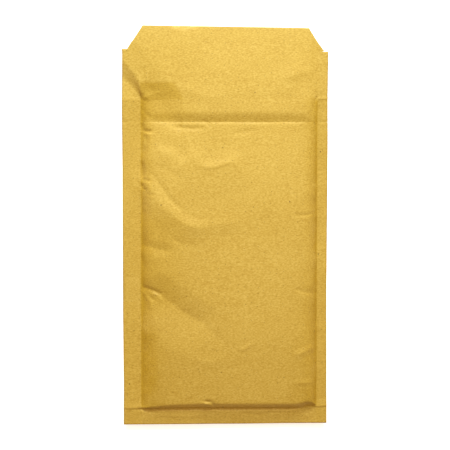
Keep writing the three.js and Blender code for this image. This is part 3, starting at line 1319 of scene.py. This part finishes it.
@dataclass
class FilmSurface:
    """Where a bubble film lies between the sheets: its flat side, and the room for its bubbles."""

    front: FrontRelief
    back: BackRelief
    sheet: Sheet  # the one that the film lines
    gap: float = 0.45  # between that sheet's inner face and the film's flat side
    reach: float = 2.6  # how far the film bridges a fold
    clearance: float = 0.06  # from the film to the line halfway between the sheets

    def middle(self, x: np.ndarray, y: np.ndarray) -> np.ndarray:
        """Height halfway between the sheets, where the two films part."""
        return (self.front.height(x, y) + self.back.height(x, y)) / 2

    def height(self, x: np.ndarray, y: np.ndarray) -> np.ndarray:
        """Height of the film's flat side, which bridges the sheet's sharpest folds.

        Args:
            x: Places across.
            y: Places along.

        Returns:
            Heights over the floor.
        """
        lined, turn = (self.front, -1) if self.sheet is Sheet.FRONT else (self.back, 1)
        ring = [(self.reach * math.cos(a), self.reach * math.sin(a)) for a in np.linspace(0, math.tau, 9)]
        near = [turn * lined.height(x + dx, y + dy) for dx, dy in [(0, 0), *ring]]
        bridged = np.maximum.reduce(near) + PAPER + self.gap
        return turn * np.minimum(bridged, turn * self.middle(x, y) - 2 * self.clearance)

    def squeeze(self, x: np.ndarray, y: np.ndarray, full: float) -> np.ndarray:
        """Share of their full height that the bubbles have room for.

        Args:
            x: Places across.
            y: Places along.
            full: Height of a bubble blown in the open.

        Returns:
            Shares, which fall towards the seams.
        """
        room = np.abs(self.middle(x, y) - self.height(x, y)) - self.clearance
        return clamp01(room / full)


@dataclass
class BubbleLining:
    """A bubble film: a honeycomb of cells, each blown up into a dome, on a flat backing film."""

    surface: FilmSurface
    layout: Layout
    pitch: float = 11.5
    dome_radius: float = 4.9
    rim: float = 0.6  # of flat film round each dome, before it is drawn round
    steps: tuple[tuple[float, float], ...] = ((0.25, 1.1), (0.75, 0.95), (1.35, 0.6))  # in, and up
    web: float = 0.12  # two films of 0.03 mm, drawn thicker so that the sheet holds together
    whole: float = 0.97  # share of a cell's area over which it counts as uncut

    def cells(self, bm: bmesh.types.BMesh) -> None:
        """Tile the film with hexagons whose edges are split, so that each has twelve points.

        Args:
            bm: The empty mesh that they are added to.
        """
        lay = self.layout
        row_step = self.pitch * math.sqrt(3) / 2
        rows = round((lay.valley - lay.bottom_seam) / row_step) + 2
        columns = round((lay.right_seam - lay.left_seam) / self.pitch) + 2
        for row in range(rows):
            for column in range(columns):
                x = lay.left_seam + (column - 0.25 + 0.5 * (row % 2)) * self.pitch
                y = lay.bottom_seam + row * row_step
                turn = Matrix.Translation((x, y, 0)) @ Matrix.Rotation(math.pi / 6, 4, "Z")
                radius = self.pitch / math.sqrt(3)
                bmesh.ops.create_circle(bm, cap_ends=True, radius=radius, segments=6, matrix=turn)
        bmesh.ops.remove_doubles(bm, verts=bm.verts, dist=0.05)
        bmesh.ops.subdivide_edges(bm, edges=bm.edges, cuts=1)

    def trim(self, bm: bmesh.types.BMesh) -> None:
        """Cut the honeycomb to the film's rectangle.

        Args:
            bm: The honeycomb.
        """
        lay = self.layout
        edges = (
            ((lay.left_seam + FILM_INSET, 0, 0), (-1, 0, 0)),
            ((lay.right_seam - FILM_INSET, 0, 0), (1, 0, 0)),
            ((0, lay.bottom_seam + FILM_INSET, 0), (0, -1, 0)),
            ((0, lay.valley - VALLEY_RUN, 0), (0, 1, 0)),
        )
        for point, normal in edges:
            cut(bm, Vector(point), Vector(normal))

    def blow(self, bm: bmesh.types.BMesh, faces: list[bmesh.types.BMFace]) -> None:
        """Raise a dome from each whole cell.

        Args:
            bm: The film.
            faces: The cells that aren't cut by its edge.
        """
        centres = [face.calc_center_median() for face in faces]
        bmesh.ops.inset_individual(bm, faces=faces, thickness=self.rim)
        for face, centre in zip(faces, centres):
            for vertex in face.verts:
                spoke = (vertex.co - centre).normalized()
                vertex.co = centre + spoke * self.dome_radius
        for inset, rise in self.steps:
            bmesh.ops.inset_individual(bm, faces=faces, thickness=inset, depth=rise)
        bmesh.ops.poke(bm, faces=faces)

    def squeeze(self, bm: bmesh.types.BMesh) -> None:
        """Flatten the bubbles where the sheets close in.

        Args:
            bm: The film, still flat.
        """
        full = self.web + sum(rise for _, rise in self.steps)
        places = np.array([v.co for v in bm.verts])
        shares = self.surface.squeeze(places[:, 0], places[:, 1], full)
        for vertex, share in zip(bm.verts, shares):
            vertex.co.z *= share

    def build(self) -> bpy.types.Object:
        """Blow the film and lay it on its sheet.

        Returns:
            The piece.
        """
        bm = bmesh.new()
        self.cells(bm)
        self.trim(bm)
        bmesh.ops.solidify(bm, geom=list(bm.faces), thickness=self.web)
        bmesh.ops.recalc_face_normals(bm, faces=bm.faces)
        least = self.whole * math.sqrt(3) / 2 * self.pitch**2
        cells = [f for f in bm.faces if f.normal.z > 0.9 and f.calc_area() > least]
        bmesh.ops.poke(bm, faces=[f for f in bm.faces if f.normal.z < -0.9])
        self.blow(bm, cells)
        self.squeeze(bm)
        sheet = self.surface.sheet
        if sheet is Sheet.FRONT:
            bmesh.ops.scale(bm, vec=(1, 1, -1), verts=bm.verts)
            bmesh.ops.reverse_faces(bm, faces=bm.faces)
        lay_on(bm, self.surface)
        name, node = f"{sheet.value}_bubble_lining", f"{sheet.value}_bubble_film"
        piece = finish_piece(bm, name, node, BubbleFilm())
        return piece


@dataclass
class FlapBand:
    """A band across the flap's underside: the glue, or the strip that covers it."""

    relief: FrontRelief
    node: str
    name: str
    slot: str
    finish: Finish
    drop: float  # below the flap's underside
    thickness: float
    side_inset: float = 0.4
    cell: tuple[float, float] = (1.5, 1.5)

    def height(self, x: np.ndarray, y: np.ndarray) -> np.ndarray:
        """Height of the band's upper face."""
        return self.relief.height(x, y) - PAPER - self.drop

    def build(self) -> bpy.types.Object:
        """Lay the band under the flap.

        Returns:
            The piece.
        """
        low, high = (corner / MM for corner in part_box(self.node))
        bm = grid((low.x + self.side_inset, low.y), (high.x - self.side_inset, high.y), self.cell)
        lay_on(bm, self)
        piece = finish_piece(bm, self.name, self.node, self.finish)
        thicken(piece, self.thickness, -1)
        return piece


# ---- Studio ---------------------------------------------------------------------------------------------


@dataclass
class Studio:
    """A plain pale floor, soft light from beyond the flap, and the camera."""

    distance: float = 0.9
    north_tilt: float = 2.233  # degrees off the vertical
    west_tilt: float = 2.8
    focal: float = 104.4
    aim: tuple[float, float, float] = (-0.0004, 0.00125, 0.007)
    floor_half: float = 4.0
    floor_drop: float = 0.0001
    floor_glow: float = 0.55
    softbox_at: tuple[float, float, float] = (0.0, 0.655, 0.459)
    softbox_size: tuple[float, float] = (0.55, 0.45)
    softbox_power: float = 9.8
    softbox_tint: tuple[float, float, float] = (0.8, 1.04, 1.33)
    sky_tint: tuple[float, float, float, float] = (1.18, 0.97, 0.76, 1.0)
    sky_brightest: tuple[float, float, float] = (0.0, 0.74, 0.67)  # towards the flap's side
    sky_range: tuple[float, float] = (0.36, 1.35)

    def floor(self) -> None:
        """Lay the floor just under the envelope: white acrylic, lit from below so that it stays pale."""
        bm = bmesh.new()
        bmesh.ops.create_grid(bm, x_segments=1, y_segments=1, size=self.floor_half)
        bmesh.ops.translate(bm, vec=(0, 0, -self.floor_drop), verts=bm.verts)
        mesh = bpy.data.meshes.new("floor")
        bm.to_mesh(mesh)
        bm.free()
        floor = bpy.data.objects.new("floor", mesh)
        bpy.context.scene.collection.objects.link(floor)
        made = bpy.data.materials.new("backlit_white_acrylic")
        made.use_nodes = True
        shader = made.node_tree.nodes["Principled BSDF"]
        shader.inputs["Base Color"].default_value = srgb("#f7f7f6")
        shader.inputs["Roughness"].default_value = 0.9
        shader.inputs["Specular IOR Level"].default_value = 0.1
        shader.inputs["Emission Color"].default_value = srgb("#ffffff")
        shader.inputs["Emission Strength"].default_value = self.floor_glow
        mesh.materials.append(made)

    def softbox(self) -> None:
        """Hang a softbox beyond the flap, turned to the envelope."""
        light = bpy.data.lights.new("north_softbox", "AREA")
        light.shape = "RECTANGLE"
        light.size, light.size_y = self.softbox_size
        light.energy = self.softbox_power
        light.color = self.softbox_tint
        lamp = bpy.data.objects.new("north_softbox", light)
        lamp.location = self.softbox_at
        lamp.rotation_mode = "QUATERNION"
        lamp.rotation_quaternion = (-lamp.location).to_track_quat("-Z", "Y")
        bpy.context.scene.collection.objects.link(lamp)

    def sky(self) -> None:
        """Set up a warm sky that is brighter on the flap's side and along the horizon."""
        world = bpy.data.worlds.new("studio")
        world.use_nodes = True
        tree = world.node_tree
        tree.nodes.clear()
        direction = add_node(tree, "ShaderNodeTexCoord").outputs["Generated"]
        height = add_node(tree, "ShaderNodeSeparateXYZ", {}, {"Vector": direction})
        lobe = add_node(
            tree,
            "ShaderNodeVectorMath",
            {"operation": "DOT_PRODUCT", 1: self.sky_brightest},
            {0: direction},
        )
        dimmest, brightest = self.sky_range
        dome = add_node(
            tree,
            "ShaderNodeMapRange",
            {"From Min": 0.5, "From Max": 1.0, "To Min": dimmest, "To Max": brightest},
            {"Value": lobe.outputs["Value"]},
        )
        horizon = add_node(
            tree,
            "ShaderNodeMapRange",
            {"From Min": 0.22, "From Max": 0.05, "To Min": 0.0, "To Max": 1.0},
            {"Value": height.outputs["Z"]},
        )
        strength = add_node(
            tree,
            "ShaderNodeMath",
            {"operation": "MAXIMUM"},
            {0: dome.outputs["Result"], 1: horizon.outputs["Result"]},
        )
        background = add_node(
            tree, "ShaderNodeBackground", {"Color": self.sky_tint}, {"Strength": strength.outputs[0]}
        )
        add_node(tree, "ShaderNodeOutputWorld", {}, {"Surface": background.outputs["Background"]})
        bpy.context.scene.world = world

    def camera(self) -> None:
        """Hang the camera almost straight above."""
        data = bpy.data.cameras.new("camera")
        data.lens = self.focal
        data.sensor_width = 36.0
        data.clip_start, data.clip_end = 0.05, 20.0
        camera = bpy.data.objects.new("camera", data)
        bpy.context.scene.collection.objects.link(camera)
        west, north = math.sin(math.radians(self.west_tilt)), math.sin(math.radians(self.north_tilt))
        back = Vector((-west, north, math.sqrt(1 - west**2 - north**2)))
        side = Vector((0, 1, 0)).cross(back).normalized()
        camera.location = Vector(self.aim) + back * self.distance
        camera.rotation_euler = Matrix((side, back.cross(side), back)).transposed().to_euler()
        bpy.context.scene.camera = camera

    def build(self) -> None:
        """Set up the studio."""
        self.camera()
        self.floor()
        self.softbox()
        self.sky()
        bpy.context.scene.view_settings.view_transform = "Standard"


def main() -> None:
    """Build the envelope and its studio."""
    logging.basicConfig(level=logging.INFO, format="%(name)s: %(message)s")
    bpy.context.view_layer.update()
    layout = Layout.from_frame()
    front = FrontRelief(layout)
    back = BackRelief(front)
    Studio().build()
    makers = (
        FrontSheet(front),
        BackSheet(back),
        BubbleLining(FilmSurface(front, back, Sheet.FRONT), layout),
        BubbleLining(FilmSurface(front, back, Sheet.BACK), layout),
        FlapBand(front, "flap_glue", "glue_band", "hot_melt_glue", HotMelt(), drop=0.02, thickness=0.12),
        FlapBand(
            front,
            "release_strip",
            "release_liner",
            "silicone_paper",
            SiliconePaper(),
            drop=0.2,
            thickness=0.1,
        ),
    )
    for maker in makers:
        piece = maker.build()
        log.info("%s: %d faces", piece.name, len(piece.data.polygons))


if __name__ == "__main__":
    main()
